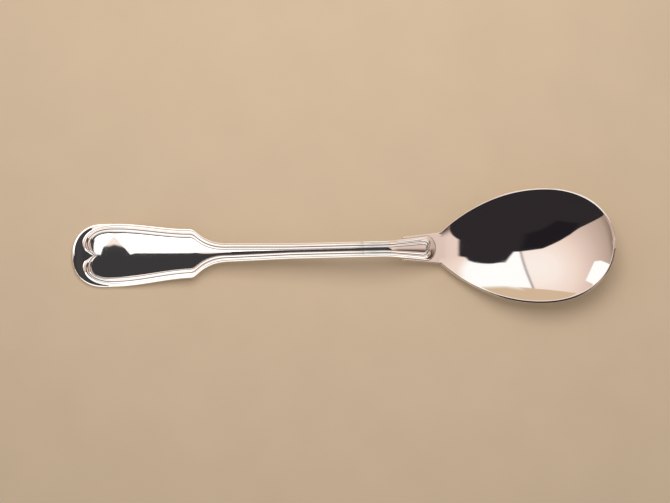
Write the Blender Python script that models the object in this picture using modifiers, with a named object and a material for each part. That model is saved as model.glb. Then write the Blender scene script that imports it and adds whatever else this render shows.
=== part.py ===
"""Sugar spoon: a dished bowl and a struck fiddle handle edged with two threads, joined by a soldered lap.

Lengths are in metres. Reach is a place along the spoon, measured from the tip of the handle.
The spoon lies along X with the bowl at +X, and rests on the plane z = 0.
"""

import math

import bmesh
import bpy

# Handle outline, seen from above
HANDLE_LENGTH = 0.1022
FIDDLE_WIDTH = 0.0179
FIDDLE_TIP_BLUNTNESS = 2.2
FIDDLE_PARALLEL_END = 0.0120
FIDDLE_LENGTH = 0.0342
SHOULDER_WIDTH = 0.0139
SHOULDER_ROUND = 0.0009
SWEEP_LENGTH = 0.0110
SWEEP_POWER = 2.6
STEM_TOP_WIDTH = 0.0054
STEM_TAPER_END = 0.0615
STEM_WIDTH = 0.0046
FLARE_START = 0.0880
FLARE_POWER = 1.3
FOOT_WIDTH = 0.0069
FOOT_ROUND_LENGTH = 0.0026
FOOT_OUTER_TO_END = 0.0012
FOOT_INNER_TO_END = 0.0018
FOOT_SPINE_TO_END = 0.0022

# Handle thickness
FIDDLE_EDGE_THICKNESS = 0.0014
STEM_EDGE_THICKNESS = 0.0021
FOOT_EDGE_THICKNESS = 0.0012
FIDDLE_CROWN = 0.0008
STEM_CROWN = 0.0005
CROWN_RUN = 0.0120
EDGE_ROUND = 0.00025

# Two raised threads along the edge, which turn in to a cusp near the tip
THREAD_HEIGHT = 0.00026
OUTER_THREAD_SHARE = 0.55
INNER_THREAD_HEIGHT = 0.00022
MARGIN = 0.00015
FIDDLE_BORDER = 0.0021
STEM_BORDER = 0.00150
FOOT_BORDER = 0.00185
CUSP_REACH = 0.0061
PANEL_CUSP_REACH = 0.0072
CUSP_TO_SPINE = 0.0010
OUTER_LOBE_REACH = 0.0010
OUTER_LOBE_ACROSS = 0.0022
OUTER_SHOULDER_REACH = 0.0026
OUTER_SHOULDER_ACROSS = 0.0080
INNER_LOBE_REACH = 0.0046
INNER_LOBE_ACROSS = 0.0016
INNER_SHOULDER_REACH = 0.0040
INNER_SHOULDER_ACROSS = 0.0074

# Side view of the handle
TIP_CURVE_END = 0.0180
TIP_SLOPE = 0.10
HANDLE_REST_DEPTH = 0.0001
BEND_LENGTH = 0.0140

# Lap joint
LAP_LENGTH = 0.0094
SOLDER_THICKNESS = 0.0002
FIT_GAP = 0.00005

# Bowl and its tongue
TONGUE_LENGTH = 0.0110
TONGUE_END_WIDTH = 0.0066
NECK_WIDTH = 0.0088
BOWL_LENGTH = 0.0482
BOWL_WIDTH = 0.0323
BOWL_DEPTH = 0.0077
BOWL_WALL = 0.0008
WIDEST_TO_TIP = 0.0202
BACK_BLUNTNESS = 2.0
BACK_POWER = 0.86
FRONT_BLUNTNESS = 2.15
FRONT_POWER = 0.465
BOWL_PITCH = 0.15
NECK_DIP = 0.0012
NECK_FLAT_HALF = 0.0030
HEEL_LENGTH = 0.0180
HEEL_POWER = 1.5
BOWL_REST_DEPTH = 0.00015
FAN_TO_TIP = 0.0060

# Facets
TIP_STEPS = 14
SECTION_SPACING = 0.0030
SWEEP_SPACING = 0.0014
FOOT_STEPS = 6
PANEL_STEPS = 3
STEPS_PER_THREAD = 4
MARGIN_STEPS = 2
UNDER_STEPS = 3
TONGUE_STEPS = 7
BOWL_BACK_STEPS = 15
BOWL_FRONT_STEPS = 12
BOWL_ACROSS_STEPS = 12
SEAM_STEPS = 5
SEAM_ACROSS_STEPS = 2
SLOPE_HALVINGS = 50
MERGE = 1e-6
SMOOTH_ANGLE = math.radians(35)

# Colours and polish
SILVER = (0.93, 0.91, 0.88)
SOLDER = (0.62, 0.58, 0.52)
BOWL_ROUGHNESS = 0.06
HANDLE_ROUGHNESS = 0.08
SOLDER_ROUGHNESS = 0.3

# Places that follow from the sizes above
FIDDLE_HALF = FIDDLE_WIDTH / 2
SWEEP_END = FIDDLE_LENGTH + SWEEP_LENGTH
FOOT_ROUND_START = HANDLE_LENGTH - FOOT_ROUND_LENGTH
TONGUE_START = HANDLE_LENGTH - LAP_LENGTH
NECK_REACH = TONGUE_START + TONGUE_LENGTH
SPOON_LENGTH = NECK_REACH + BOWL_LENGTH
WIDEST_REACH = SPOON_LENGTH - WIDEST_TO_TIP
LAP_GAP = SOLDER_THICKNESS + 2 * FIT_GAP
BACK_LENGTH = WIDEST_REACH - NECK_REACH
# The pitch puts the bowl's lowest spot behind its widest place
HEEL_FALL = BOWL_DEPTH - NECK_DIP
LOWEST_TO_WIDEST = BOWL_PITCH * BACK_LENGTH**2 / (2 * HEEL_FALL)
LOWEST_DEPTH = BOWL_DEPTH + BOWL_PITCH * LOWEST_TO_WIDEST / 2
RIM_HEIGHT = LOWEST_DEPTH + BOWL_WALL - BOWL_REST_DEPTH
# The tongue and the foot fall as steeply as the dish does where it starts
FOOT_SLOPE = 2 * HEEL_FALL / BACK_LENGTH - BOWL_PITCH
NECK_UNDER_HEIGHT = RIM_HEIGHT - BOWL_PITCH * BACK_LENGTH - NECK_DIP + LAP_GAP
BEND_START = TONGUE_START - BEND_LENGTH
BEND_END_HEIGHT = NECK_UNDER_HEIGHT + FOOT_SLOPE * TONGUE_LENGTH


def ease(share):
    """0 to 1 with a level start and end."""
    share = min(max(share, 0.0), 1.0)
    return share * share * (3 - 2 * share)


def eased(start, end, share):
    return start + (end - start) * ease(share)


def between(first, second, share):
    """The point that far from first to second."""
    return tuple(a + (b - a) * share for a, b in zip(first, second))


def spaced(start, end, steps):
    """Evenly spaced values from start up to, but without, end."""
    return [start + (end - start) * k / steps for k in range(steps)]


def bezier(points, share):
    """The point at that share of a Bezier curve."""
    while len(points) > 1:
        points = [between(a, b, share) for a, b in zip(points, points[1:])]
    return points[0]


def moved_towards(start, goal, distance):
    return between(start, goal, distance / math.dist(start, goal))


# Handle: outline, side view and surface


def sharp_half_width(reach):
    """Half the handle's width with sharp shoulders, from the widest of the fiddle to the foot's round."""
    if reach < FIDDLE_LENGTH:
        share = (reach - FIDDLE_PARALLEL_END) / (FIDDLE_LENGTH - FIDDLE_PARALLEL_END)
        return eased(FIDDLE_HALF, SHOULDER_WIDTH / 2, share)
    if reach < SWEEP_END:
        left = (SWEEP_END - reach) / SWEEP_LENGTH
        return (STEM_TOP_WIDTH + (SHOULDER_WIDTH - STEM_TOP_WIDTH) * left**SWEEP_POWER) / 2
    if reach < STEM_TAPER_END:
        share = (reach - SWEEP_END) / (STEM_TAPER_END - SWEEP_END)
        return (STEM_TOP_WIDTH + (STEM_WIDTH - STEM_TOP_WIDTH) * share) / 2
    if reach < FLARE_START:
        return STEM_WIDTH / 2
    share = (reach - FLARE_START) / (FOOT_ROUND_START - FLARE_START)
    return (STEM_WIDTH + (FOOT_WIDTH - STEM_WIDTH) * share**FLARE_POWER) / 2


def handle_half_width(reach):
    """Half the handle's width, with the fiddle's shoulders rounded."""
    past = reach - FIDDLE_LENGTH
    if abs(past) > SHOULDER_ROUND:
        return sharp_half_width(reach)
    corners = [(sharp_half_width(FIDDLE_LENGTH + side * SHOULDER_ROUND),) for side in (-1, 0, 1)]
    return bezier(corners, (past + SHOULDER_ROUND) / (2 * SHOULDER_ROUND))[0]


def by_zone(reach, fiddle, stem, foot):
    """A size that changes from the fiddle to the stem, and again from the stem to the foot."""
    size = eased(fiddle, stem, (reach - FIDDLE_LENGTH) / SWEEP_LENGTH)
    return eased(size, foot, (reach - FLARE_START) / (HANDLE_LENGTH - FLARE_START))


def lowest_reach(slope):
    """Where the underside is lowest, if the handle rises at that slope."""
    return TIP_CURVE_END * TIP_SLOPE / (slope + TIP_SLOPE)


def straight_start_height(slope):
    """Height of the underside where its straight run starts, if the handle rises at that slope."""
    return slope * (TIP_CURVE_END - lowest_reach(slope)) / 2 - HANDLE_REST_DEPTH


def bend_end_height(slope):
    """Height of the underside at the end of the bend, if the handle rises at that slope."""
    straight = slope * (BEND_START - TIP_CURVE_END)
    return straight_start_height(slope) + straight + (slope - FOOT_SLOPE) * BEND_LENGTH / 2


def fitted_slope():
    """The slope of the straight run that brings the bend down to the bowl, found by halving a range."""
    low, high = 0.0, 1.0
    for _ in range(SLOPE_HALVINGS):
        middle = (low + high) / 2
        if bend_end_height(middle) < BEND_END_HEIGHT:
            low = middle
        else:
            high = middle
    return low


HANDLE_SLOPE = fitted_slope()
HANDLE_REST_REACH = lowest_reach(HANDLE_SLOPE)


def spine_height(reach):
    """Height of the underside before its rest is flattened: curled tip, straight run, bend and foot."""
    if reach < TIP_CURVE_END:
        curve = (HANDLE_SLOPE + TIP_SLOPE) / TIP_CURVE_END
        return curve * (reach - HANDLE_REST_REACH) ** 2 / 2 - HANDLE_REST_DEPTH
    if reach < BEND_START:
        return straight_start_height(HANDLE_SLOPE) + HANDLE_SLOPE * (reach - TIP_CURVE_END)
    if reach < TONGUE_START:
        left = TONGUE_START - reach
        curve = (HANDLE_SLOPE + FOOT_SLOPE) / BEND_LENGTH
        return BEND_END_HEIGHT + FOOT_SLOPE * left - curve * left**2 / 2
    return NECK_UNDER_HEIGHT + FOOT_SLOPE * (NECK_REACH - reach)


def under_height(reach):
    return max(spine_height(reach), 0.0)


def edge_thickness(reach):
    return by_zone(reach, FIDDLE_EDGE_THICKNESS, STEM_EDGE_THICKNESS, FOOT_EDGE_THICKNESS)


def off_centre(reach, across):
    """0 on the handle's centre and 1 at its edge."""
    if reach < FIDDLE_HALF:
        back = (1 - reach / FIDDLE_HALF) ** FIDDLE_TIP_BLUNTNESS
        side = (across / FIDDLE_HALF) ** FIDDLE_TIP_BLUNTNESS
        return (back + side) ** (1 / FIDDLE_TIP_BLUNTNESS)
    if reach < FOOT_ROUND_START:
        return across / handle_half_width(reach)
    past = (reach - FOOT_ROUND_START) / FOOT_ROUND_LENGTH
    return math.hypot(past, across / (FOOT_WIDTH / 2))


def top_height(plan):
    """Height of the handle's crowned top, without the threads."""
    reach, across = plan
    crown = by_zone(reach, FIDDLE_CROWN, STEM_CROWN, STEM_CROWN) * ease(reach / CROWN_RUN)
    dome = crown * (1 - off_centre(reach, across) ** 2)
    return spine_height(reach) + edge_thickness(reach) + dome


def bead(share, start, end):
    """A half-round bead between start and end."""
    if not start < share < end:
        return 0.0
    return math.sin(math.pi * (share - start) / (end - start))


def thread_relief(share):
    """Height of the two threads at that share of the way across them, from the outside in."""
    outer = THREAD_HEIGHT * bead(share, 0, OUTER_THREAD_SHARE)
    return outer + INNER_THREAD_HEIGHT * bead(share, OUTER_THREAD_SHARE, 1)


def thread_shares():
    """Places across the two threads, from the inside out."""
    inner = spaced(1, OUTER_THREAD_SHARE, STEPS_PER_THREAD)
    return inner + spaced(OUTER_THREAD_SHARE, 0, STEPS_PER_THREAD)


def tip_edge(share):
    """The handle's edge, round the tip and on to where the fiddle starts to narrow."""
    arc = FIDDLE_HALF * math.pi / 2
    run = share * (arc + FIDDLE_PARALLEL_END - FIDDLE_HALF)
    if run > arc:
        return FIDDLE_HALF + run - arc, FIDDLE_HALF
    angle = run / FIDDLE_HALF
    back = max(math.cos(angle), 0.0) ** (2 / FIDDLE_TIP_BLUNTNESS)
    side = math.sin(angle) ** (2 / FIDDLE_TIP_BLUNTNESS)
    return FIDDLE_HALF * (1 - back), FIDDLE_HALF * side


def tip_lines(share):
    """Edge, outer thread line, inner thread line and spine of a section through the tip."""
    outer_end = (FIDDLE_PARALLEL_END, FIDDLE_HALF - EDGE_ROUND - MARGIN)
    inner_end = (FIDDLE_PARALLEL_END, FIDDLE_HALF - EDGE_ROUND - MARGIN - FIDDLE_BORDER)
    outer_lobe = (OUTER_LOBE_REACH, OUTER_LOBE_ACROSS)
    outer_shoulder = (OUTER_SHOULDER_REACH, OUTER_SHOULDER_ACROSS)
    inner_lobe = (INNER_LOBE_REACH, INNER_LOBE_ACROSS)
    inner_shoulder = (INNER_SHOULDER_REACH, INNER_SHOULDER_ACROSS)
    outer = bezier([(CUSP_REACH, 0.0), outer_lobe, outer_shoulder, outer_end], share)
    inner = bezier([(PANEL_CUSP_REACH, 0.0), inner_lobe, inner_shoulder, inner_end], share)
    spine_start = (PANEL_CUSP_REACH + CUSP_TO_SPINE, 0.0)
    return tip_edge(share), outer, inner, between(spine_start, (FIDDLE_PARALLEL_END, 0.0), share)


def side_lines(reach):
    """The same four lines where a section runs straight across the handle."""
    half = handle_half_width(reach)
    border = by_zone(reach, FIDDLE_BORDER, STEM_BORDER, FOOT_BORDER)
    outer = half - EDGE_ROUND - MARGIN
    return (reach, half), (reach, outer), (reach, outer - border), (reach, 0.0)


def foot_lines(share):
    """The same four lines round the foot, where the threads have run out."""
    angle = share * math.pi / 2
    edge = (
        FOOT_ROUND_START + FOOT_ROUND_LENGTH * math.sin(angle),
        FOOT_WIDTH / 2 * math.cos(angle),
    )
    starts = side_lines(FOOT_ROUND_START)[1:]
    to_end = (FOOT_OUTER_TO_END, FOOT_INNER_TO_END, FOOT_SPINE_TO_END)
    ends = [(HANDLE_LENGTH - distance, 0.0) for distance in to_end]
    turn = 1 - math.cos(angle)
    return (edge, *(between(start, end, turn) for start, end in zip(starts, ends)))


def section_reaches():
    """Places of the straight sections, from the fiddle to the foot, closer together in the sweep."""
    stops = {TIP_CURVE_END, FIDDLE_LENGTH, SWEEP_END, STEM_TAPER_END, BEND_START, TONGUE_START, FLARE_START}
    stops = {stop for stop in stops if FIDDLE_PARALLEL_END < stop < FOOT_ROUND_START}
    stops = sorted(stops | {FIDDLE_PARALLEL_END, FOOT_ROUND_START})
    reaches = []
    for start, end in zip(stops, stops[1:]):
        spacing = SWEEP_SPACING if FIDDLE_LENGTH <= start < SWEEP_END else SECTION_SPACING
        reaches += spaced(start, end, math.ceil((end - start - MERGE) / spacing))
    return reaches


def handle_section(lines, thread_strength):
    """Points of half a section, from the spine over the top, round the edge and back underneath."""
    edge, outer, inner, spine = lines
    top_edge = moved_towards(edge, outer, EDGE_ROUND)
    points = []
    for share in spaced(0, 1, PANEL_STEPS):
        plan = between(spine, inner, share)
        points.append((*plan, top_height(plan)))
    narrowing = thread_strength * min(1, math.dist(outer, inner) / STEM_BORDER)
    for share in thread_shares():
        plan = between(outer, inner, share)
        points.append((*plan, top_height(plan) + narrowing * thread_relief(share)))
    for share in spaced(0, 1, MARGIN_STEPS):
        plan = between(outer, top_edge, share)
        points.append((*plan, top_height(plan)))
    points.append((*top_edge, top_height(top_edge)))
    points.append((*edge, under_height(edge[0]) + edge_thickness(edge[0]) / 2))
    for share in spaced(0, 1, UNDER_STEPS) + [1]:
        plan = between(top_edge, spine, share)
        points.append((*plan, under_height(plan[0])))
    return points


def handle_sections():
    sections = [handle_section(tip_lines(share), 1) for share in spaced(0, 1, TIP_STEPS)]
    sections += [handle_section(side_lines(reach), 1) for reach in section_reaches()]
    for share in spaced(0, 1, FOOT_STEPS) + [1]:
        sections.append(handle_section(foot_lines(share), 0))
    return sections


# Bowl: outline and dish


def rim_inset(slope):
    """How far the inner edge of the rim lies inside the outer one, where the dish is that steep."""
    return BOWL_WALL * math.sin(math.atan(slope))


INNER_HALF = BOWL_WIDTH / 2 - rim_inset(4 * BOWL_DEPTH / BOWL_WIDTH)
FRONT_RUN = WIDEST_TO_TIP - rim_inset(2 * BOWL_DEPTH / WIDEST_TO_TIP + BOWL_PITCH)
NECK_ANGLE = math.asin((NECK_WIDTH / 2 / INNER_HALF) ** (0.5 / BACK_POWER))
BACK_RUN = (WIDEST_REACH - NECK_REACH) / math.cos(NECK_ANGLE) ** (2 / BACK_BLUNTNESS)


def egg_point(angle, run, bluntness, power):
    """A point of the egg-shaped outline: its distance along from the widest place, and across."""
    along = run * max(math.cos(angle), 0.0) ** (2 / bluntness)
    return along, INNER_HALF * math.sin(angle) ** (2 * power)


def bowl_half_width(reach):
    """Half the width inside the rim, or of the tongue behind the neck."""
    if reach < NECK_REACH:
        share = (reach - TONGUE_START) / TONGUE_LENGTH
        return (TONGUE_END_WIDTH + (NECK_WIDTH - TONGUE_END_WIDTH) * share) / 2
    if reach < WIDEST_REACH:
        left = 1 - ((WIDEST_REACH - reach) / BACK_RUN) ** BACK_BLUNTNESS
        return INNER_HALF * left**BACK_POWER
    left = 1 - ((reach - WIDEST_REACH) / FRONT_RUN) ** FRONT_BLUNTNESS
    return INNER_HALF * max(left, 0.0) ** FRONT_POWER


def rim_line(reach):
    """Height of the pitched line that the rim follows, away from the neck."""
    return RIM_HEIGHT + BOWL_PITCH * (reach - WIDEST_REACH)


def heel_height(reach):
    """Height of the inner face along the axis, from the neck to the widest place."""
    back = (WIDEST_REACH - reach) / BACK_LENGTH
    return rim_line(reach) - BOWL_DEPTH + HEEL_FALL * back**2


def heel_rise(reach, across):
    """How far the inner face there stands above the axis. At the neck its middle is flat."""
    half = bowl_half_width(reach)
    flat = NECK_FLAT_HALF * (1 - ease((reach - NECK_REACH) / HEEL_LENGTH))
    past_flat = max(abs(across) - flat, 0.0) / half
    return BOWL_DEPTH * (half / INNER_HALF) ** HEEL_POWER * past_flat**2


def dish_height(plan):
    """Height of the inner face: level across the tongue, falling along the heel, rounded up to the tip."""
    reach, across = plan
    if reach < NECK_REACH:
        return under_height(reach) - LAP_GAP
    if reach < WIDEST_REACH:
        return heel_height(reach) + heel_rise(reach, across)
    return rim_line(reach) - BOWL_DEPTH * (bowl_half_width(reach) ** 2 - across**2) / INNER_HALF**2


def bowl_lines():
    """Edge and spine of each section, from the tongue's end to the tip of the bowl."""
    lines = []
    for reach in spaced(TONGUE_START, NECK_REACH, TONGUE_STEPS):
        lines.append(((reach, bowl_half_width(reach)), (reach, 0.0)))
    for angle in spaced(NECK_ANGLE, math.pi / 2, BOWL_BACK_STEPS):
        along, across = egg_point(angle, BACK_RUN, BACK_BLUNTNESS, BACK_POWER)
        lines.append(((WIDEST_REACH - along, across), (WIDEST_REACH - along, 0.0)))
    fan = FRONT_RUN - FAN_TO_TIP
    for share in spaced(0, 1, BOWL_FRONT_STEPS) + [1]:
        angle = (1 - share) * math.pi / 2
        along, across = egg_point(angle, FRONT_RUN, FRONT_BLUNTNESS, FRONT_POWER)
        lines.append(((WIDEST_REACH + along, across), (WIDEST_REACH + fan * share, 0.0)))
    return lines


def bowl_sections():
    sections = []
    for edge, spine in bowl_lines():
        plans = [between(spine, edge, share) for share in spaced(0, 1, BOWL_ACROSS_STEPS) + [1]]
        sections.append([(*plan, dish_height(plan)) for plan in plans])
    return sections


# Solder seam: the handle's flat lap face, from the tongue's end to the round of the foot


def seam_sections():
    lines = [side_lines(reach) for reach in spaced(TONGUE_START, FOOT_ROUND_START, SEAM_STEPS)]
    lines += [foot_lines(share) for share in spaced(0, 1, FOOT_STEPS) + [1]]
    sections = []
    for edge, outer, _, spine in lines:
        rim = moved_towards(edge, outer, EDGE_ROUND)
        plans = [between(spine, rim, share) for share in spaced(0, 1, SEAM_ACROSS_STEPS) + [1]]
        sections.append([(*plan, under_height(plan[0]) - LAP_GAP / 2) for plan in plans])
    return sections


# Objects


def clear_scene():
    for obj in list(bpy.data.objects):
        bpy.data.objects.remove(obj)


def make_collection(name):
    collection = bpy.data.collections.new(name)
    bpy.context.scene.collection.children.link(collection)
    return collection


def make_material(name, colour, roughness):
    material = bpy.data.materials.new(name)
    material.use_nodes = True
    shader = material.node_tree.nodes["Principled BSDF"]
    shader.inputs["Base Color"].default_value = (*colour, 1)
    shader.inputs["Metallic"].default_value = 1
    shader.inputs["Roughness"].default_value = roughness
    return material


def add_half(name, sections, origin_reach, collection, material, parent):
    """An object lofted through half sections, with its other half made by a Mirror."""
    mesh = bpy.data.meshes.new(name)
    grid = bmesh.new()
    rows = [
        [grid.verts.new((reach - origin_reach, across, height)) for reach, across, height in section]
        for section in sections
    ]
    for row, next_row in zip(rows, rows[1:]):
        for k in range(len(row) - 1):
            grid.faces.new((row[k], next_row[k], next_row[k + 1], row[k + 1]))
    grid.to_mesh(mesh)
    grid.free()
    mesh.materials.append(material)
    mesh.shade_smooth()
    mesh.set_sharp_from_angle(angle=SMOOTH_ANGLE)
    obj = bpy.data.objects.new(name, mesh)
    collection.objects.link(obj)
    obj.parent = parent
    obj.location.x = origin_reach - SPOON_LENGTH / 2
    mirror = obj.modifiers.new("other half", "MIRROR")
    mirror.use_axis = (False, True, False)
    mirror.merge_threshold = MERGE
    return obj


def thicken(obj, thickness, offset):
    solidify = obj.modifiers.new("thickness", "SOLIDIFY")
    solidify.thickness = thickness
    solidify.offset = offset
    solidify.use_even_offset = True


def cut_rest(bowl, collection):
    """Flattens the bowl's lowest spot, where it stands on the table."""
    depth = BOWL_WALL
    bpy.ops.mesh.primitive_cube_add(size=1)
    cutter = bpy.context.object
    cutter.name = "bowl_rest_cutter"
    cutter.dimensions = (BOWL_WIDTH, BOWL_WIDTH, depth)
    bpy.ops.object.transform_apply(location=False, rotation=False, scale=True)
    cutter.location = (bowl.location.x, 0, -depth / 2)
    for owner in list(cutter.users_collection):
        owner.objects.unlink(cutter)
    collection.objects.link(cutter)
    cutter.hide_render = True
    cutter.display_type = "WIRE"
    rest = bowl.modifiers.new("rest", "BOOLEAN")
    rest.operation = "DIFFERENCE"
    rest.object = cutter


def main():
    clear_scene()
    spoon = make_collection("sugar_spoon")
    cutters = make_collection("cutters")
    root = bpy.data.objects.new("sugar_spoon_root", None)
    spoon.objects.link(root)
    bowl_silver = make_material("bowl_silver", SILVER, BOWL_ROUGHNESS)
    handle_silver = make_material("handle_silver", SILVER, HANDLE_ROUGHNESS)
    solder = make_material("silver_solder", SOLDER, SOLDER_ROUGHNESS)
    bowl = add_half("bowl", bowl_sections(), WIDEST_REACH - LOWEST_TO_WIDEST, spoon, bowl_silver, root)
    thicken(bowl, BOWL_WALL, -1)
    cut_rest(bowl, cutters)
    add_half("handle", handle_sections(), HANDLE_REST_REACH, spoon, handle_silver, root)
    seam = add_half("solder_seam", seam_sections(), TONGUE_START, spoon, solder, root)
    thicken(seam, SOLDER_THICKNESS, 0)


main()
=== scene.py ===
"""Looks of the sugar spoon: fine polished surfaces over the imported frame, on a floor in studio light.

Lengths are in metres. Reach is a place along the spoon, measured from the tip of the handle.
The spoon lies along X with the bowl at +X, and rests on the plane z = 0.
"""

import math

import bmesh
import bpy
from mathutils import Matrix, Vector


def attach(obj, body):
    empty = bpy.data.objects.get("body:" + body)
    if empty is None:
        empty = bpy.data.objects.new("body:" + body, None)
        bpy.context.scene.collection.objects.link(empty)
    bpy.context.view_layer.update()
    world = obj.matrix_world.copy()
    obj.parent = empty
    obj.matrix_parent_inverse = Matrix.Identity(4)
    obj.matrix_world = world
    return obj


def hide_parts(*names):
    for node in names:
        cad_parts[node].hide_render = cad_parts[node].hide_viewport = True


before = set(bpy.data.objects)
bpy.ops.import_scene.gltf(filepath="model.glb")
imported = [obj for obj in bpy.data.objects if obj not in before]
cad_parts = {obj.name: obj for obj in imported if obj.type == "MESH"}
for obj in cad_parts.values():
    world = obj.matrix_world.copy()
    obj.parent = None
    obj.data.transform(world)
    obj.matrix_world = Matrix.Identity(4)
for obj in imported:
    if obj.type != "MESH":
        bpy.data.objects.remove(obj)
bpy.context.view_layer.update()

# Handle outline, seen from above
HANDLE_LENGTH = 0.1022
FIDDLE_WIDTH = 0.0179
FIDDLE_TIP_BLUNTNESS = 2.2
FIDDLE_PARALLEL_END = 0.0120
FIDDLE_LENGTH = 0.0342
SHOULDER_WIDTH = 0.0139
SHOULDER_ROUND = 0.0009
SWEEP_LENGTH = 0.0110
SWEEP_POWER = 2.6
STEM_TOP_WIDTH = 0.0054
STEM_TAPER_END = 0.0615
STEM_WIDTH = 0.0046
FLARE_START = 0.0880
FLARE_POWER = 1.3
FOOT_WIDTH = 0.0069
FOOT_ROUND_LENGTH = 0.0026

# Handle thickness
FIDDLE_EDGE_THICKNESS = 0.0014
STEM_EDGE_THICKNESS = 0.0021
FOOT_EDGE_THICKNESS = 0.0012
FIDDLE_CROWN = 0.0008
STEM_CROWN = 0.0005
CROWN_RUN = 0.0120
EDGE_ROUND = 0.00025

# Two raised threads along the edge, which turn in to a cusp near the tip and at the foot
THREAD_HEIGHT = 0.00026
OUTER_THREAD_SHARE = 0.55
INNER_THREAD_HEIGHT = 0.00022
MARGIN = 0.00015
FIDDLE_BORDER = 0.0021
STEM_BORDER = 0.00150
FOOT_BORDER = 0.00185
GROOVE_WIDTH = 0.00020
TIP_OUTER = ((0.0061, 0.0), (0.0010, 0.0022), (0.0026, 0.0080))
TIP_INNER = ((0.0072, 0.0), (0.0046, 0.0016), (0.0040, 0.0074))
TIP_SPINE_START = 0.0082
FOOT_LOBE_TO_END = 0.0038
FOOT_OUTER_TO_END = ((0.0021, 0.0), (0.0012, 0.0010), (0.0012, 0.0029))
FOOT_INNER_TO_END = ((0.0028, 0.0), (0.0023, 0.0004), (0.0025, 0.0012))
FOOT_SPINE_TO_END = 0.0034

# Side view of the handle
TIP_CURVE_END = 0.0180
TIP_SLOPE = 0.10
HANDLE_REST_DEPTH = 0.0001
BEND_LENGTH = 0.0140

# Lap joint
LAP_LENGTH = 0.0094
LAP_GAP = 0.0003
SOLDER_FILLET = 0.00012
FILLET_EDGE_SHARE = 0.4

# Bowl and its tongue
TONGUE_LENGTH = 0.0110
TONGUE_END_WIDTH = 0.0066
NECK_WIDTH = 0.0088
BOWL_LENGTH = 0.0482
BOWL_WIDTH = 0.0323
BOWL_DEPTH = 0.0077
BOWL_WALL = 0.0008
RIM_ROUND = 0.0002
RIM_LEAN = 0.00006
WIDEST_TO_TIP = 0.0202
BACK_BLUNTNESS = 2.0
BACK_POWER = 0.86
FRONT_BLUNTNESS = 2.15
FRONT_POWER = 0.465
BOWL_PITCH = 0.15
NECK_DIP = 0.0012
NECK_FLAT_HALF = 0.0030
HEEL_LENGTH = 0.0180
HEEL_POWER = 1.5
BOWL_REST_DEPTH = 0.00015
FAN_TO_TIP = 0.0060

# Fineness of the meshes
TIP_STEPS = 72
SIDE_SPACING = 0.0005
FOOT_STEPS = 30
PANEL_STEPS = 14
STEPS_PER_THREAD = 12
MARGIN_STEPS = 4
EDGE_STEPS = 10
UNDER_STEPS = 8
TONGUE_ROUND_STEPS = 5
TONGUE_STEPS = 30
BOWL_BACK_STEPS = 70
BOWL_FRONT_STEPS = 64
BOWL_ACROSS_STEPS = 48
RIM_STEPS = 6
SLOPE_STEP = 1e-6
SLOPE_HALVINGS = 50
MERGE = 1e-6
SHARP_ANGLE = math.radians(50)

# Silver, solder and floor
SILVER = (0.96, 0.94, 0.91)
SILVER_WARM = (0.95, 0.92, 0.88)
TARNISH = (0.16, 0.12, 0.10)
TARNISH_START = 0.25
TARNISH_STRENGTH = 0.85
TARNISH_ROUGHNESS = 0.30
CLOUD_SCALE = 90.0
BOWL_POLISH = 0.035
HANDLE_POLISH = 0.030
BOWL_STREAKS = (0.3, 1.2, 2.3)
HANDLE_STREAKS = (0.05, -0.12)
STREAK_ALONG = 60.0
STREAK_ACROSS = 5000.0
STREAK_LOW = 0.62
STREAK_HIGH = 0.75
STREAK_ROUGHNESS = 0.05
STREAK_BUMP = 0.15
STREAK_DEPTH = 1e-6
SOLDER_DARK = (0.24, 0.20, 0.17)
SOLDER_LIGHT = (0.42, 0.37, 0.32)
SOLDER_SCALE = 2500.0
SOLDER_SMOOTH = 0.25
SOLDER_ROUGH = 0.5
SOLDER_PIT = 1e-5
FLOOR_DARK = (0.60, 0.452, 0.31)
FLOOR_LIGHT = (0.66, 0.50, 0.344)
MOTTLE_SCALE = 60.0
MOTTLE_DETAIL = 6.0
FLOOR_ROUGHNESS = 0.9
FLOOR_SHEEN = 0.2
FLOOR_SIZE = 6

# Light
AMBIENT = (0.39, 0.39, 0.39)
BACKGROUND = (0.80, 0.76, 0.70)
WINDOW_STRENGTH = 1.06
TENT_CENTRE = (-0.08, 0.40, 1.0)
TENT_SPREAD = (0.93, 1.40, 1.0)
CRISP = 0.008
SOFT = 0.05
LOWEST_RAY = 0.02
SIDE_BOX = ((-0.2, -0.3, 0.46), (math.pi / 2, 0, 0), (1.2, 0.88), 1.2)
TOP_BOX = ((-0.483, 0.492, 1.2), (0, 0, math.radians(-25)), (0.5, 0.8), 1.1)
FILL_BOX = ((-0.3, 0.0, 1.2), (0, 0, 0), (1.6, 1.6), 0.03)
KEY_SIZE = 0.26
KEY_POWER = 1.0
KEY_PLACE = (0.02, 0.18, 0.42)
KEY_AIM = (0, 0, 0)
WASH_SIZE = 0.2
WASH_POWER = 0.15
WASH_PLACE = (-0.02, 0.12, 0.22)
WASH_AIM = (*WASH_PLACE[:2], 0)

# Light tent: places are mirror slopes along X and Y, and a card's corners go round it clockwise
FAR_STRIP = [(-0.46, 0.87), (-0.46, 1.30), (0.40, 1.30), (0.40, 0.68), (0.02, 0.745)]
SIDE_GLOW = [(0.30, 0.55), (0.30, 1.30), (1.30, 1.30), (1.30, 0.30)]
NEAR_CORNER = [(-1.5, -1.5), (-1.5, -0.25), (-0.8, -0.5), (-0.5, -0.8), (-0.25, -1.5)]
WINDOW_GLOW = [(0.04, 0.05), (0.04, 0.76), (0.19, 0.72), (0.20, 0.35), (0.18, 0.05)]
WINDOW = [(-0.03, 0.05), (-0.044, 0.74), (0.10, 0.735), (0.10, 0.05)]
WINDOW_EDGE = [(-0.030, 0.10), (-0.050, 0.76), (-0.038, 0.76), (-0.020, 0.10)]
SMALL_WINDOW = [(-0.95, 0.40), (-0.92, 0.62), (-0.72, 0.80), (-0.525, 0.64), (-0.66, 0.31), (-0.74, 0.30)]
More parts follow.
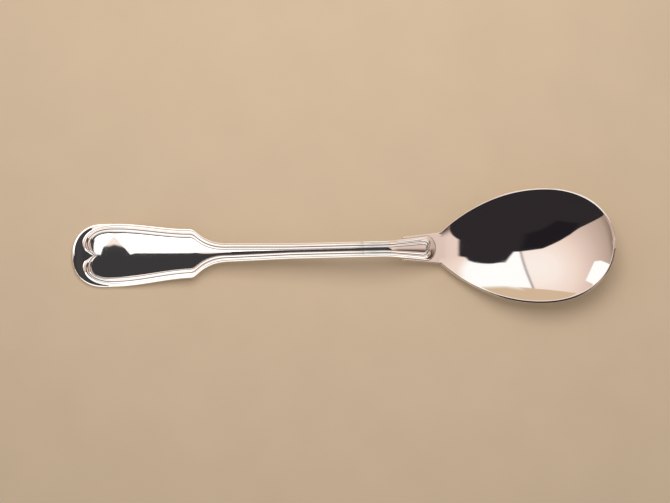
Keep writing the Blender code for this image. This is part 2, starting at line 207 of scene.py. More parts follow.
BROWN_CARD = [(0.27, -0.22), (0.345, -0.025), (0.62, -0.025), (0.62, -0.40), (0.27, -0.40)]
SMALL_DARK_CARD = [(-0.85, -0.62), (-0.80, -0.48), (-0.48, -0.275), (-0.40, -0.30), (-0.46, -0.85)]
DARK_CARD = [
    (-0.50, -1.30), (-0.50, -0.29), (-0.29, -0.075), (-0.13, 0.054), (-0.10, 0.068), (-0.02, 0.104),
    (0.185, 0.10), (0.232, 0.04), (0.263, 0.0), (0.272, -0.06), (0.277, -0.12), (0.285, -0.237),
    (0.29, -1.30),
]
DARK_CARD_LOBE = [
    (0.005, 0.10), (0.053, 0.30), (0.066, 0.312), (0.087, 0.29), (0.139, 0.223), (0.18, 0.155),
    (0.222, 0.035),
]
DARKEST_CARD = [
    (-0.49, -0.36), (-0.395, -0.18), (-0.12, 0.035), (-0.03, 0.055), (-0.046, -0.20), (-0.246, -0.42),
]

# Camera: almost straight overhead, a little turned
SENSOR_WIDTH = 36
IMAGE_WIDTH = 670
MM_PER_PIXEL = 0.2797
CAMERA_DISTANCE = 0.8
CAMERA_AIM = (-0.0020, -0.0004, 0.006)
CAMERA_TURN = math.radians(-1.25)
CAMERA_LEAN = math.radians(1)

# Places that follow from the sizes above
FIDDLE_HALF = FIDDLE_WIDTH / 2
SWEEP_END = FIDDLE_LENGTH + SWEEP_LENGTH
FOOT_ROUND_START = HANDLE_LENGTH - FOOT_ROUND_LENGTH
FOOT_LOBE_START = HANDLE_LENGTH - FOOT_LOBE_TO_END
TONGUE_START = HANDLE_LENGTH - LAP_LENGTH
NECK_REACH = TONGUE_START + TONGUE_LENGTH
SPOON_LENGTH = NECK_REACH + BOWL_LENGTH
WIDEST_REACH = SPOON_LENGTH - WIDEST_TO_TIP
BACK_LENGTH = WIDEST_REACH - NECK_REACH
# The pitch puts the bowl's lowest spot behind its widest place
HEEL_FALL = BOWL_DEPTH - NECK_DIP
LOWEST_TO_WIDEST = BOWL_PITCH * BACK_LENGTH**2 / (2 * HEEL_FALL)
LOWEST_DEPTH = BOWL_DEPTH + BOWL_PITCH * LOWEST_TO_WIDEST / 2
RIM_HEIGHT = LOWEST_DEPTH + BOWL_WALL - BOWL_REST_DEPTH
# The tongue and the foot fall as steeply as the dish does where it starts
FOOT_SLOPE = 2 * HEEL_FALL / BACK_LENGTH - BOWL_PITCH
NECK_UNDER_HEIGHT = RIM_HEIGHT - BOWL_PITCH * BACK_LENGTH - NECK_DIP + LAP_GAP
BEND_START = TONGUE_START - BEND_LENGTH
BEND_END_HEIGHT = NECK_UNDER_HEIGHT + FOOT_SLOPE * TONGUE_LENGTH


def ease(share):
    """0 to 1 with a level start and end."""
    share = min(max(share, 0.0), 1.0)
    return share * share * (3 - 2 * share)


def eased(start, end, share):
    return start + (end - start) * ease(share)


def between(first, second, share):
    """The point that far from first to second."""
    return tuple(a + (b - a) * share for a, b in zip(first, second))


def spaced(start, end, steps):
    """Evenly spaced values from start up to, but without, end."""
    return [start + (end - start) * k / steps for k in range(steps)]


def bezier(points, share):
    """The point at that share of a Bezier curve."""
    while len(points) > 1:
        points = [between(a, b, share) for a, b in zip(points, points[1:])]
    return points[0]


def moved_towards(start, goal, distance):
    return between(start, goal, distance / math.dist(start, goal))


# Handle: outline, side view and surface


def sharp_half_width(reach):
    """Half the handle's width with sharp shoulders, from the widest of the fiddle to the foot's round."""
    if reach < FIDDLE_LENGTH:
        share = (reach - FIDDLE_PARALLEL_END) / (FIDDLE_LENGTH - FIDDLE_PARALLEL_END)
        return eased(FIDDLE_HALF, SHOULDER_WIDTH / 2, share)
    if reach < SWEEP_END:
        left = (SWEEP_END - reach) / SWEEP_LENGTH
        return (STEM_TOP_WIDTH + (SHOULDER_WIDTH - STEM_TOP_WIDTH) * left**SWEEP_POWER) / 2
    if reach < STEM_TAPER_END:
        share = (reach - SWEEP_END) / (STEM_TAPER_END - SWEEP_END)
        return (STEM_TOP_WIDTH + (STEM_WIDTH - STEM_TOP_WIDTH) * share) / 2
    if reach < FLARE_START:
        return STEM_WIDTH / 2
    share = (reach - FLARE_START) / (FOOT_ROUND_START - FLARE_START)
    return (STEM_WIDTH + (FOOT_WIDTH - STEM_WIDTH) * share**FLARE_POWER) / 2


def handle_half_width(reach):
    """Half the handle's width, with the fiddle's shoulders rounded."""
    past = reach - FIDDLE_LENGTH
    if abs(past) > SHOULDER_ROUND:
        return sharp_half_width(reach)
    corners = [(sharp_half_width(FIDDLE_LENGTH + side * SHOULDER_ROUND),) for side in (-1, 0, 1)]
    return bezier(corners, (past + SHOULDER_ROUND) / (2 * SHOULDER_ROUND))[0]


def by_zone(reach, fiddle, stem, foot):
    """A size that changes from the fiddle to the stem, and again from the stem to the foot."""
    size = eased(fiddle, stem, (reach - FIDDLE_LENGTH) / SWEEP_LENGTH)
    return eased(size, foot, (reach - FLARE_START) / (HANDLE_LENGTH - FLARE_START))


def lowest_reach(slope):
    """Where the underside is lowest, if the handle rises at that slope."""
    return TIP_CURVE_END * TIP_SLOPE / (slope + TIP_SLOPE)


def straight_start_height(slope):
    """Height of the underside where its straight run starts, if the handle rises at that slope."""
    return slope * (TIP_CURVE_END - lowest_reach(slope)) / 2 - HANDLE_REST_DEPTH


def bend_end_height(slope):
    """Height of the underside at the end of the bend, if the handle rises at that slope."""
    straight = slope * (BEND_START - TIP_CURVE_END)
    return straight_start_height(slope) + straight + (slope - FOOT_SLOPE) * BEND_LENGTH / 2


def fitted_slope():
    """The slope of the straight run that brings the bend down to the bowl, found by halving a range."""
    low, high = 0.0, 1.0
    for _ in range(SLOPE_HALVINGS):
        middle = (low + high) / 2
        if bend_end_height(middle) < BEND_END_HEIGHT:
            low = middle
        else:
            high = middle
    return low


HANDLE_SLOPE = fitted_slope()
HANDLE_REST_REACH = lowest_reach(HANDLE_SLOPE)


def spine_height(reach):
    """Height of the underside before its rest is flattened: curled tip, straight run, bend and foot."""
    if reach < TIP_CURVE_END:
        curve = (HANDLE_SLOPE + TIP_SLOPE) / TIP_CURVE_END
        return curve * (reach - HANDLE_REST_REACH) ** 2 / 2 - HANDLE_REST_DEPTH
    if reach < BEND_START:
        return straight_start_height(HANDLE_SLOPE) + HANDLE_SLOPE * (reach - TIP_CURVE_END)
    if reach < TONGUE_START:
        left = TONGUE_START - reach
        curve = (HANDLE_SLOPE + FOOT_SLOPE) / BEND_LENGTH
        return BEND_END_HEIGHT + FOOT_SLOPE * left - curve * left**2 / 2
    return NECK_UNDER_HEIGHT + FOOT_SLOPE * (NECK_REACH - reach)


def under_height(reach):
    return max(spine_height(reach), 0.0)


def edge_thickness(reach):
    return by_zone(reach, FIDDLE_EDGE_THICKNESS, STEM_EDGE_THICKNESS, FOOT_EDGE_THICKNESS)


def off_centre(reach, across):
    """0 on the handle's centre and 1 at its edge."""
    if reach < FIDDLE_HALF:
        back = (1 - reach / FIDDLE_HALF) ** FIDDLE_TIP_BLUNTNESS
        side = (across / FIDDLE_HALF) ** FIDDLE_TIP_BLUNTNESS
        return (back + side) ** (1 / FIDDLE_TIP_BLUNTNESS)
    if reach < FOOT_ROUND_START:
        return across / handle_half_width(reach)
    past = (reach - FOOT_ROUND_START) / FOOT_ROUND_LENGTH
    return math.hypot(past, across / (FOOT_WIDTH / 2))


def top_height(plan):
    """Height of the handle's crowned top, without the threads."""
    reach, across = plan
    crown = by_zone(reach, FIDDLE_CROWN, STEM_CROWN, STEM_CROWN) * ease(reach / CROWN_RUN)
    dome = crown * (1 - off_centre(reach, across) ** 2)
    return spine_height(reach) + edge_thickness(reach) + dome


def bead(share, start, end):
    """A half-round bead between start and end."""
    if not start < share < end:
        return 0.0
    return math.sin(math.pi * (share - start) / (end - start))


def thread_relief(share):
    """Height of the two threads at that share of the way across them, from the outside in."""
    outer = THREAD_HEIGHT * bead(share, 0, OUTER_THREAD_SHARE)
    return outer + INNER_THREAD_HEIGHT * bead(share, OUTER_THREAD_SHARE, 1)


def thread_shares():
    """Places across the two threads, from the inside out."""
    inner = spaced(1, OUTER_THREAD_SHARE, STEPS_PER_THREAD)
    return inner + spaced(OUTER_THREAD_SHARE, 0, STEPS_PER_THREAD)


def groove(share, border):
    """1 in the grooves beside and between the threads, and 0 away from them."""
    distances = [abs(share - line) * border for line in (OUTER_THREAD_SHARE, 1)]
    return math.exp(-((min(distances) / GROOVE_WIDTH) ** 2))


def tip_edge(share):
    """The handle's edge, round the tip and on to where the fiddle starts to narrow."""
    arc = FIDDLE_HALF * math.pi / 2
    run = share * (arc + FIDDLE_PARALLEL_END - FIDDLE_HALF)
    if run > arc:
        return FIDDLE_HALF + run - arc, FIDDLE_HALF
    angle = run / FIDDLE_HALF
    back = max(math.cos(angle), 0.0) ** (2 / FIDDLE_TIP_BLUNTNESS)
    side = math.sin(angle) ** (2 / FIDDLE_TIP_BLUNTNESS)
    return FIDDLE_HALF * (1 - back), FIDDLE_HALF * side


def foot_edge(share):
    """The handle's edge, round the foot and back to where the threads start to turn in."""
    arc = FOOT_WIDTH / 2 * math.pi / 2
    run = share * (arc + FOOT_ROUND_START - FOOT_LOBE_START)
    if run > arc:
        reach = FOOT_ROUND_START - (run - arc)
        return reach, handle_half_width(reach)
    angle = run / (FOOT_WIDTH / 2)
    reach = FOOT_ROUND_START + FOOT_ROUND_LENGTH * math.cos(angle)
    return reach, FOOT_WIDTH / 2 * math.sin(angle)


def side_lines(reach):
    """Edge, outer thread line, inner thread line and spine of a section straight across the handle."""
    half = handle_half_width(reach)
    border = by_zone(reach, FIDDLE_BORDER, STEM_BORDER, FOOT_BORDER)
    outer = half - EDGE_ROUND - MARGIN
    return (reach, half), (reach, outer), (reach, outer - border), (reach, 0.0)


def tip_lines(share):
    """The same four lines round the tip, where both threads turn in to a cusp."""
    _, outer_end, inner_end, spine_end = side_lines(FIDDLE_PARALLEL_END)
    outer = bezier([*TIP_OUTER, outer_end], share)
    inner = bezier([*TIP_INNER, inner_end], share)
    return tip_edge(share), outer, inner, between((TIP_SPINE_START, 0.0), spine_end, share)


def before_end(points):
    """Points given by their distances to the handle's end and across, with the first as a reach."""
    return [(HANDLE_LENGTH - to_end, across) for to_end, across in points]


def foot_lines(share):
    """The same four lines round the foot."""
    _, outer_end, inner_end, spine_end = side_lines(FOOT_LOBE_START)
    outer = bezier([*before_end(FOOT_OUTER_TO_END), outer_end], share)
    inner = bezier([*before_end(FOOT_INNER_TO_END), inner_end], share)
    spine = between((HANDLE_LENGTH - FOOT_SPINE_TO_END, 0.0), spine_end, share)
    return foot_edge(share), outer, inner, spine


def handle_section(lines):
    """Half a section, from the spine over the top, round the edge and back underneath.

    Each point is its reach, its distance across, its height and how deep it lies in a groove.
    """
    edge, outer, inner, spine = lines
    top_edge = moved_towards(edge, outer, EDGE_ROUND)
    points = []
    for share in spaced(0, 1, PANEL_STEPS):
        plan = between(spine, inner, share)
        points.append((*plan, top_height(plan), groove(2 - share, math.dist(spine, inner))))
    border = math.dist(outer, inner)
    narrowing = min(1, border / STEM_BORDER)
    for share in thread_shares():
        plan = between(outer, inner, share)
        points.append((*plan, top_height(plan) + narrowing * thread_relief(share), groove(share, border)))
    for share in spaced(0, 1, MARGIN_STEPS):
        plan = between(outer, top_edge, share)
        points.append((*plan, top_height(plan), 0.0))
    low = under_height(edge[0])
    high = top_height(top_edge)
    for angle in spaced(math.pi / 2, -math.pi / 2, EDGE_STEPS):
        plan = between(top_edge, edge, math.cos(angle))
        points.append((*plan, (low + high) / 2 + (high - low) / 2 * math.sin(angle), 0.0))
    for share in spaced(0, 1, UNDER_STEPS) + [1]:
        plan = between(top_edge, spine, share)
        points.append((*plan, under_height(plan[0]), 0.0))
    return points


def handle_sections():
    side_steps = round((FOOT_LOBE_START - FIDDLE_PARALLEL_END) / SIDE_SPACING)
    sections = [handle_section(tip_lines(share)) for share in spaced(0, 1, TIP_STEPS)]
    for reach in spaced(FIDDLE_PARALLEL_END, FOOT_LOBE_START, side_steps):
        sections.append(handle_section(side_lines(reach)))
    for share in spaced(1, 0, FOOT_STEPS) + [0]:
        sections.append(handle_section(foot_lines(share)))
    return sections


# Bowl: outline and dish


def rim_inset(slope):
    """How far the inner edge of the rim lies inside the outer one, where the dish is that steep."""
    return BOWL_WALL * math.sin(math.atan(slope))


INNER_HALF = BOWL_WIDTH / 2 - rim_inset(4 * BOWL_DEPTH / BOWL_WIDTH)
FRONT_RUN = WIDEST_TO_TIP - rim_inset(2 * BOWL_DEPTH / WIDEST_TO_TIP + BOWL_PITCH)
NECK_ANGLE = math.asin((NECK_WIDTH / 2 / INNER_HALF) ** (0.5 / BACK_POWER))
BACK_RUN = (WIDEST_REACH - NECK_REACH) / math.cos(NECK_ANGLE) ** (2 / BACK_BLUNTNESS)


def egg_point(angle, run, bluntness, power):
    """A point of the egg-shaped outline: its distance along from the widest place, and across."""
    along = run * max(math.cos(angle), 0.0) ** (2 / bluntness)
    return along, INNER_HALF * math.sin(angle) ** (2 * power)


def squared_half_width(reach):
    """The square of half the width inside the rim, or of the tongue behind the neck."""
    if reach < NECK_REACH:
        share = (reach - TONGUE_START) / TONGUE_LENGTH
        return ((TONGUE_END_WIDTH + (NECK_WIDTH - TONGUE_END_WIDTH) * share) / 2) ** 2
    if reach < WIDEST_REACH:
        left = 1 - ((WIDEST_REACH - reach) / BACK_RUN) ** BACK_BLUNTNESS
        return (INNER_HALF * left**BACK_POWER) ** 2
    left = 1 - ((reach - WIDEST_REACH) / FRONT_RUN) ** FRONT_BLUNTNESS
    return INNER_HALF**2 * math.copysign(abs(left) ** (2 * FRONT_POWER), left)


def rim_line(reach):
    """Height of the pitched line that the rim follows, away from the neck."""
    return RIM_HEIGHT + BOWL_PITCH * (reach - WIDEST_REACH)


def heel_height(reach):
    """Height of the inner face along the axis, from the neck to the widest place."""
    back = (WIDEST_REACH - reach) / BACK_LENGTH
    return rim_line(reach) - BOWL_DEPTH + HEEL_FALL * back**2


def heel_rise(reach, across):
    """How far the inner face there stands above the axis. At the neck its middle is flat."""
    half = squared_half_width(reach) ** 0.5
    flat = NECK_FLAT_HALF * (1 - ease((reach - NECK_REACH) / HEEL_LENGTH))
    past_flat = max(abs(across) - flat, 0.0) / half
    return BOWL_DEPTH * (half / INNER_HALF) ** HEEL_POWER * past_flat**2


def dish_height(reach, across):
    """Height of the inner face: level across the tongue, falling along the heel, rounded up to the tip."""
    if reach < NECK_REACH:
        return under_height(reach) - LAP_GAP
    if reach < WIDEST_REACH:
        return heel_height(reach) + heel_rise(reach, across)
    return rim_line(reach) - BOWL_DEPTH * (squared_half_width(reach) - across**2) / INNER_HALF**2


def dish_normal(reach, across):
    """The direction square to the inner face, read just past the place, clear of the step at the neck."""
    reach += SLOPE_STEP
    along = dish_height(reach + SLOPE_STEP, across) - dish_height(reach, across)
    side = dish_height(reach, across) - dish_height(reach, across - SLOPE_STEP)
    length = math.hypot(along, side, SLOPE_STEP)
    return -along / length, -side / length, SLOPE_STEP / length


def straight_across(reach, across, shrink=0.0):
    """Edge, spine and shrink of a section straight across the bowl or the tongue."""
    return (reach, across), (reach, 0.0), shrink


def bowl_lines():
    """Edge, spine and shrink of each section, from the rounded end of the tongue to the tip of the bowl."""
    lines = []
    for angle in spaced(0, math.pi / 2, TONGUE_ROUND_STEPS):
        reach = TONGUE_START + RIM_ROUND * (1 - math.cos(angle))
        shrink = RIM_ROUND * (1 - math.sin(angle))
        lines.append(straight_across(reach, squared_half_width(reach) ** 0.5, shrink))
    for reach in spaced(TONGUE_START + RIM_ROUND, NECK_REACH, TONGUE_STEPS):
        lines.append(straight_across(reach, squared_half_width(reach) ** 0.5))
    for angle in spaced(NECK_ANGLE, math.pi / 2, BOWL_BACK_STEPS):
        along, across = egg_point(angle, BACK_RUN, BACK_BLUNTNESS, BACK_POWER)
        lines.append(straight_across(WIDEST_REACH - along, across))
    fan = FRONT_RUN - FAN_TO_TIP
    for share in spaced(0, 1, BOWL_FRONT_STEPS) + [1]:
        angle = (1 - share) * math.pi / 2
        along, across = egg_point(angle, FRONT_RUN, FRONT_BLUNTNESS, FRONT_POWER)
        lines.append(((WIDEST_REACH + along, across), (WIDEST_REACH + fan * share, 0.0), 0.0))
    return lines


def sunk(plan, depth):
    """The point that deep below the inner face, square to it, and never below the table."""
    reach, across = plan
    height = dish_height(reach, across)
    along, side, up = dish_normal(reach, across)
    return reach - along * depth, across - side * depth, max(height - up * depth, 0.0), 0.0


def bowl_section(edge, spine, shrink):
    """Half a section, from the spine over the inner face, round the rim and back over the outer face."""
    edge = moved_towards(edge, spine, shrink) if shrink else edge
    last_share = 1 - RIM_ROUND / math.dist(spine, edge)
    shares = spaced(0, last_share, BOWL_ACROSS_STEPS)
    points = [sunk(between(spine, edge, share), shrink) for share in shares]
    for angle in spaced(0, math.pi / 2, RIM_STEPS):
        plan = moved_towards(edge, spine, RIM_ROUND * (1 - math.sin(angle)))
        points.append(sunk(plan, max(shrink, RIM_ROUND * (1 - math.cos(angle)))))
    for angle in spaced(math.pi / 2, 0, RIM_STEPS) + [0]:
        plan = moved_towards(edge, spine, RIM_ROUND - (RIM_ROUND + RIM_LEAN) * math.sin(angle))
        points.append(sunk(plan, BOWL_WALL - max(shrink, RIM_ROUND * (1 - math.cos(angle)))))
    for share in reversed(shares):
        points.append(sunk(between(spine, edge, share), BOWL_WALL - shrink))
    return points


# Solder seam: fills the lap, with a narrow fillet that shows round the foot


def seam_section(lines):
    """Half a section of the solder, from the spine over its top, round the fillet and back underneath."""
    edge, _, _, spine = lines
    rim = moved_towards(edge, spine, -SOLDER_FILLET)
    low = under_height(edge[0]) - LAP_GAP
    high = under_height(edge[0]) + SOLDER_FILLET
    middle = under_height(spine[0])
    points = [(*spine, middle, 1.0), (*moved_towards(edge, spine, EDGE_ROUND), high, 1.0)]
    points += [(*edge, low + (high - low) * FILLET_EDGE_SHARE, 1.0), (*rim, low, 1.0)]
    return points + [(*spine, middle - LAP_GAP, 1.0)]


def seam_sections():
    reaches = spaced(TONGUE_START + RIM_ROUND, FOOT_LOBE_START, FOOT_STEPS)
    sections = [seam_section(side_lines(reach)) for reach in reaches]
    return sections + [seam_section(foot_lines(share)) for share in spaced(1, 0, FOOT_STEPS) + [0]]


# Objects


def add_piece(name, sections, material, node, capped):
    """A piece lofted through half sections, mirrored, that stands for a node of the frame."""
    mesh = bpy.data.meshes.new(name)
    grid = bmesh.new()
    depth = grid.verts.layers.float.new("groove")
    rows = []
    for section in sections:
        row = []
        for reach, across, height, in_groove in section:
            vertex = grid.verts.new((reach - SPOON_LENGTH / 2, across, height))
            vertex[depth] = in_groove
            row.append(vertex)
        rows.append(row)
    for row, next_row in zip(rows, rows[1:]):
        for k in range(len(row) - 1):
            grid.faces.new((row[k], next_row[k], next_row[k + 1], row[k + 1]))
    if capped:
        grid.faces.new(rows[0])
    grid.to_mesh(mesh)
    grid.free()
    mesh.materials.append(material)
    mesh.shade_smooth()
    mesh.set_sharp_from_angle(angle=SHARP_ANGLE)
    piece = bpy.data.objects.new(name, mesh)
    bpy.context.scene.collection.objects.link(piece)
    mirror = piece.modifiers.new("other half", "MIRROR")
    mirror.use_axis = (False, True, False)
    mirror.merge_threshold = MERGE
    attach(piece, "root")
    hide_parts(node)
    return piece


# Materials


def feed(tree, socket, value):
    """Sets an input to a value, or links it to another node's socket."""
    if isinstance(value, bpy.types.NodeSocket):
        tree.links.new(value, socket)
    else:
        socket.default_value = value


def add_node(tree, kind, **inputs):
    """A shader node with its named inputs set to values, or linked to sockets."""
    node = tree.nodes.new(kind)
    for name, value in inputs.items():
        feed(tree, node.inputs[name], value)
    return node


def math_node(tree, operation, *values):
    node = tree.nodes.new("ShaderNodeMath")
    node.operation = operation
    for socket, value in zip(node.inputs, values):
        feed(tree, socket, value)
    return node.outputs[0]


def vector_node(tree, operation, first, second=(0, 0, 0)):
    node = tree.nodes.new("ShaderNodeVectorMath")
    node.operation = operation
    tree.links.new(first, node.inputs[0])
    node.inputs[1].default_value = second
    return node


def mapped(tree, value, start, end, low=0.0, high=1.0, kind="SMOOTHSTEP"):
    """The value moved from the range start to end into the range low to high."""
    node = tree.nodes.new("ShaderNodeMapRange")
    node.interpolation_type = kind
    tree.links.new(value, node.inputs["Value"])
    node.inputs["From Min"].default_value = start
    node.inputs["From Max"].default_value = end
    node.inputs["To Min"].default_value = low
    node.inputs["To Max"].default_value = high
    return node.outputs["Result"]


def mixed(tree, share, first, second):
    """A colour between two colours, each a tuple or a socket."""
    node = tree.nodes.new("ShaderNodeMix")
    node.data_type = "RGBA"
    tree.links.new(share, node.inputs["Factor"])
    for name, colour in (("A", first), ("B", second)):
        feed(tree, node.inputs[name], (*colour, 1) if isinstance(colour, tuple) else colour)
    return node.outputs["Result"]


def screen(red, green, blue, strength=1.0):
    """The light that shows on screen as these values out of 255, by the sRGB curve, times a strength."""
    light = []
    for value in (red, green, blue):
        share = value / 255
        light.append(strength * (share / 12.92 if share < 0.04045 else ((share + 0.055) / 1.055) ** 2.4))
    return tuple(light)


def noise(tree, place, scale, detail=2.0):
    return add_node(tree, "ShaderNodeTexNoise", Vector=place, Scale=scale, Detail=detail).outputs["Fac"]


def stretched(tree, place, angle, along, across):
    """The place turned about Z and scaled, so that a noise read there is drawn out into streaks."""
    scale = (along, across, across)
    turned = add_node(tree, "ShaderNodeMapping", Vector=place, Rotation=(0, 0, angle), Scale=scale)
    return turned.outputs["Vector"]


def new_material(name):
    material = bpy.data.materials.new(name)
    material.use_nodes = True
    tree = material.node_tree
    place = tree.nodes.new("ShaderNodeTexCoord").outputs["Object"]
    return material, tree, tree.nodes["Principled BSDF"], place


def make_silver(name, polish, streak_angles):
    """Polished silver: slight clouding, fine hairline streaks and dark tarnish in the grooves."""
    material, tree, shader, place = new_material(name)
    shader.inputs["Metallic"].default_value = 1
    clouds = noise(tree, place, CLOUD_SCALE)
    grooves = add_node(tree, "ShaderNodeAttribute")
    grooves.attribute_name = "groove"
    tarnish = mapped(tree, grooves.outputs["Fac"], TARNISH_START, 1.0, 0.0, TARNISH_STRENGTH)
    clean = mixed(tree, clouds, SILVER, SILVER_WARM)
    tree.links.new(mixed(tree, tarnish, clean, TARNISH), shader.inputs["Base Color"])
    hairlines = None
    for angle in streak_angles:
        streaks = noise(tree, stretched(tree, place, angle, STREAK_ALONG, STREAK_ACROSS), 1.0)
        lines = mapped(tree, streaks, STREAK_LOW, STREAK_HIGH)
        hairlines = math_node(tree, "MAXIMUM", hairlines, lines) if hairlines else lines
    worn = math_node(tree, "MULTIPLY_ADD", hairlines, STREAK_ROUGHNESS, polish)
    rough = math_node(tree, "MULTIPLY_ADD", tarnish, TARNISH_ROUGHNESS, worn)
    tree.links.new(rough, shader.inputs["Roughness"])
    bump = add_node(tree, "ShaderNodeBump", Height=hairlines, Strength=STREAK_BUMP, Distance=STREAK_DEPTH)
    tree.links.new(bump.outputs["Normal"], shader.inputs["Normal"])
    return material


def make_solder():
    """Solder: duller and greyer than the silver, a little pitted."""
    material, tree, shader, place = new_material("solder_polish")
    shader.inputs["Metallic"].default_value = 1
    grains = noise(tree, place, SOLDER_SCALE)
    tree.links.new(mixed(tree, grains, SOLDER_DARK, SOLDER_LIGHT), shader.inputs["Base Color"])
    tree.links.new(mapped(tree, grains, 0.0, 1.0, SOLDER_SMOOTH, SOLDER_ROUGH), shader.inputs["Roughness"])
    bump = add_node(tree, "ShaderNodeBump", Height=grains, Strength=STREAK_BUMP, Distance=SOLDER_PIT)
    tree.links.new(bump.outputs["Normal"], shader.inputs["Normal"])
    return material


def make_floor_card():
    """Plain warm card with a faint mottle."""
    material, tree, shader, place = new_material("floor_card")
    mottle = noise(tree, place, MOTTLE_SCALE, MOTTLE_DETAIL)
    tree.links.new(mixed(tree, mottle, FLOOR_DARK, FLOOR_LIGHT), shader.inputs["Base Color"])
    shader.inputs["Roughness"].default_value = FLOOR_ROUGHNESS
    shader.inputs["Specular IOR Level"].default_value = FLOOR_SHEEN
    return material


# Stage, light and camera


def add_floor():
    bpy.ops.mesh.primitive_plane_add(size=FLOOR_SIZE)
    floor = bpy.context.object
    floor.name = "floor"
    floor.data.materials.append(make_floor_card())


def card_share(tree, place, softness, corners):
    """1 inside a card and 0 outside, fading over its edge. No corner of the card points inwards."""
    nearest = None
    for (x, y), (next_x, next_y) in zip(corners, corners[1:] + corners[:1]):
        length = math.dist((x, y), (next_x, next_y))
        inward = ((next_y - y) / length, -(next_x - x) / length)
        line = (*inward, -inward[0] * x - inward[1] * y)
        distance = vector_node(tree, "DOT_PRODUCT", place, line).outputs["Value"]
        nearest = math_node(tree, "MINIMUM", nearest, distance) if nearest else distance
    return mapped(tree, nearest, -softness, softness)


def tent_place(tree):
    """Where a ray meets the tent, as the slope of a level mirror that would send an upright ray there."""
    direction = tree.nodes.new("ShaderNodeTexCoord").outputs["Generated"]
    axes = add_node(tree, "ShaderNodeSeparateXYZ", Vector=direction)
    height = math_node(tree, "MAXIMUM", math_node(tree, "ADD", axes.outputs["Z"], 1.0), LOWEST_RAY)
    across = [math_node(tree, "DIVIDE", axes.outputs[name], height) for name in "XY"]
    return add_node(tree, "ShaderNodeCombineXYZ", X=across[0], Y=across[1], Z=1.0).outputs["Vector"]


def tent_cloth():
    """Shades of the cloth by the distance from the tent's centre, from 0 to 1."""
    return (
        (0.00, screen(254, 245, 238)),
        (0.19, screen(254, 239, 232)),
        (0.28, screen(249, 230, 222)),
        (0.40, screen(243, 221, 209)),
        (0.51, screen(231, 207, 196)),
        (0.72, screen(206, 182, 169)),
        (0.90, screen(186, 163, 149)),
        (1.00, screen(150, 128, 114)),
    )


def tent_cards():
    """Colour, softness and corners of each card. A later card lies over those before it."""
    white = screen(255, 255, 255, WINDOW_STRENGTH)
    dark = screen(46, 41, 44)
    return (
        (screen(214, 186, 158), CRISP, FAR_STRIP),
        (white, SOFT, SIDE_GLOW),
        (screen(240, 215, 190), SOFT, NEAR_CORNER),
        (white, SOFT, WINDOW_GLOW),
        (white, CRISP, WINDOW),
        (white, CRISP, SMALL_WINDOW),
        (screen(165, 148, 146), CRISP, WINDOW_EDGE),
        (screen(84, 64, 60), SOFT, BROWN_CARD),
        (dark, CRISP, SMALL_DARK_CARD),
        (dark, CRISP, DARK_CARD),
        (dark, CRISP, DARK_CARD_LOBE),
        (screen(32, 28, 32), SOFT / 2, DARKEST_CARD),
    )


def tent_colour(tree):
    """The light tent that the silver mirrors: pale cloth round the window, then the cards over it."""
    place = tent_place(tree)
    offset = vector_node(tree, "SUBTRACT", place, TENT_CENTRE).outputs["Vector"]
    spread = vector_node(tree, "DIVIDE", offset, TENT_SPREAD).outputs["Vector"]
    distance = vector_node(tree, "LENGTH", spread).outputs["Value"]
    cloth = add_node(tree, "ShaderNodeValToRGB", Fac=distance)
    shades = tent_cloth()
    for position, _ in shades[1:-1]:
        cloth.color_ramp.elements.new(position)
    for element, (_, shade) in zip(cloth.color_ramp.elements, shades):
        element.color = (*shade, 1)
    colour = cloth.outputs["Color"]
    for card, softness, corners in tent_cards():
        colour = mixed(tree, card_share(tree, place, softness, corners), colour, card)
    return colour


def add_world():
    """Even pale light for the floor and the background, and the tent for what the silver mirrors."""
    world = bpy.data.worlds.new("studio")
    bpy.context.scene.world = world
    world.use_nodes = True
    tree = world.node_tree
    tree.nodes.clear()
    path = tree.nodes.new("ShaderNodeLightPath")
    plain = mixed(tree, path.outputs["Is Camera Ray"], AMBIENT, BACKGROUND)
    colour = mixed(tree, path.outputs["Is Glossy Ray"], plain, tent_colour(tree))
    background = add_node(tree, "ShaderNodeBackground", Color=colour)
    add_node(tree, "ShaderNodeOutputWorld", Surface=background.outputs[0])


def add_floor_lamp(name, place, aim, size, power):
    """A lamp that the silver doesn't mirror."""
    light = bpy.data.lights.new(name, "AREA")
    light.size = size
    light.energy = power
    lamp = bpy.data.objects.new(name, light)
    lamp.location = place
    lamp.rotation_euler = (Vector(aim) - Vector(place)).to_track_quat("-Z", "Y").to_euler()
    lamp.visible_glossy = False
    bpy.context.scene.collection.objects.link(lamp)
    return light


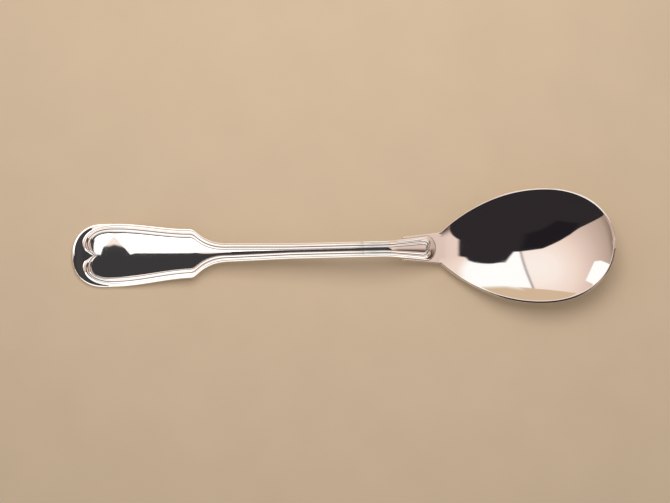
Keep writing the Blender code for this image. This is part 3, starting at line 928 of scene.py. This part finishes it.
def add_soft_box(name, box, lit):
    """A soft box for the objects of one collection alone. Its brightness is what a mirror shows of it."""
    place, turn, size, brightness = box
    light = bpy.data.lights.new(name, "AREA")
    light.shape = "RECTANGLE"
    light.size, light.size_y = size
    light.energy = brightness * math.pi * size[0] * size[1]
    lamp = bpy.data.objects.new(name, light)
    lamp.location = place
    lamp.rotation_euler = turn
    lamp.visible_camera = False
    lamp.light_linking.receiver_collection = lit
    bpy.context.scene.collection.objects.link(lamp)


def add_camera():
    data = bpy.data.cameras.new("camera")
    data.sensor_width = SENSOR_WIDTH
    data.lens = SENSOR_WIDTH * CAMERA_DISTANCE / (IMAGE_WIDTH * MM_PER_PIXEL / 1000)
    camera = bpy.data.objects.new("camera", data)
    camera.rotation_euler = (CAMERA_LEAN, 0, CAMERA_TURN)
    back = camera.rotation_euler.to_matrix() @ Vector((0, 0, CAMERA_DISTANCE))
    camera.location = Vector(CAMERA_AIM) + back
    bpy.context.scene.collection.objects.link(camera)
    bpy.context.scene.camera = camera


def add_spoon():
    """The spoon's three pieces. The handle is returned, because it has soft boxes of its own."""
    bowl_silver = make_silver("bowl_silver_polish", BOWL_POLISH, BOWL_STREAKS)
    handle_silver = make_silver("handle_silver_polish", HANDLE_POLISH, HANDLE_STREAKS)
    bowl_shape = [bowl_section(*line) for line in bowl_lines()]
    add_piece("polished_bowl", bowl_shape, bowl_silver, "bowl", True)
    handle_shape = handle_sections()
    handle = add_piece("polished_handle", handle_shape, handle_silver, "handle", False)
    add_piece("solder_line", seam_sections(), make_solder(), "solder_seam", True)
    return handle


def add_lights(handle):
    """A key and a shadowless wash for the floor, and soft boxes that the handle mirrors."""
    add_floor_lamp("key", KEY_PLACE, KEY_AIM, KEY_SIZE, KEY_POWER)
    wash = add_floor_lamp("wash", WASH_PLACE, WASH_AIM, WASH_SIZE, WASH_POWER)
    wash.use_shadow = False
    handle_only = bpy.data.collections.new("handle_only")
    handle_only.objects.link(handle)
    for name, box in (("side", SIDE_BOX), ("top", TOP_BOX), ("fill", FILL_BOX)):
        add_soft_box(name, box, handle_only)


def main():
    handle = add_spoon()
    add_floor()
    add_world()
    add_lights(handle)
    add_camera()
    bpy.context.scene.view_settings.view_transform = "Standard"


main()
